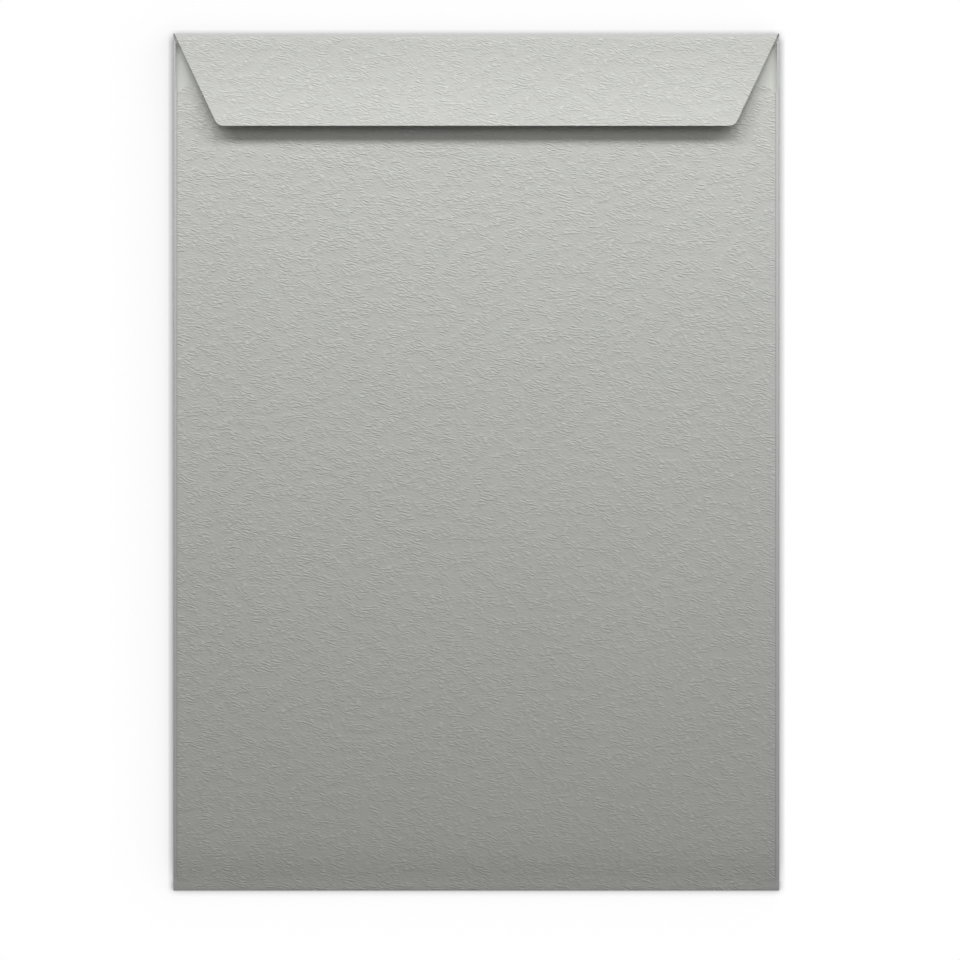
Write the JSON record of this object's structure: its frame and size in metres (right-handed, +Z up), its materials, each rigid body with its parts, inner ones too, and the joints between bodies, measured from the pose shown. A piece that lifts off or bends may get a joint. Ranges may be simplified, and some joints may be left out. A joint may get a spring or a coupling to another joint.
{
  "type": "pocket envelope",
  "caption": "Side-seam pocket envelope of heavy felt-marked paper with a hinged slant-sided closing flap on its short side and a peel-off liner over its adhesive.",
  "frame": {"origin": "middle of the envelope's lowest face, which is the outer face of the front panel", "axes": "+Z up out of the flap side, +Y along the length towards the flap end, +X across the width"},
  "size_m": [0.229, 0.324, 0.0074],
  "materials": {
    "felt_marked_paper": "matte, felt-marked",
    "seam_glue": "dried glue film",
    "closure_adhesive": "tacky film",
    "liner_paper": "silicone-coated, smooth"
  },
  "bodies": {
    "pocket": {"front_panel": "felt_marked_paper", "bottom_fold": "felt_marked_paper", "back_panel_base": "felt_marked_paper", "back_panel": "felt_marked_paper", "left_side_fold": "felt_marked_paper", "right_side_fold": "felt_marked_paper", "left_side_flap": "felt_marked_paper", "right_side_flap": "felt_marked_paper", "left_seam_glue": "seam_glue", "right_seam_glue": "seam_glue", "top_fold": "felt_marked_paper"},
    "flap": {"closing_flap": "felt_marked_paper", "adhesive_strip": "closure_adhesive"},
    "liner": {"release_liner": "liner_paper"}
  },
  "joints": [
    {"name": "flap_fold", "type": "hinge", "parent": "pocket", "child": "flap", "pos_m": [0, 0.1607, 0.00129], "axis": [-1, 0, 0], "range_deg": [-8, 172], "deforming": ["top_fold"]},
    {"name": "liner_peel", "type": "slide", "parent": "flap", "child": "liner", "axis": [1, 0, 0], "range_m": [0, 0.2]}
  ]
}
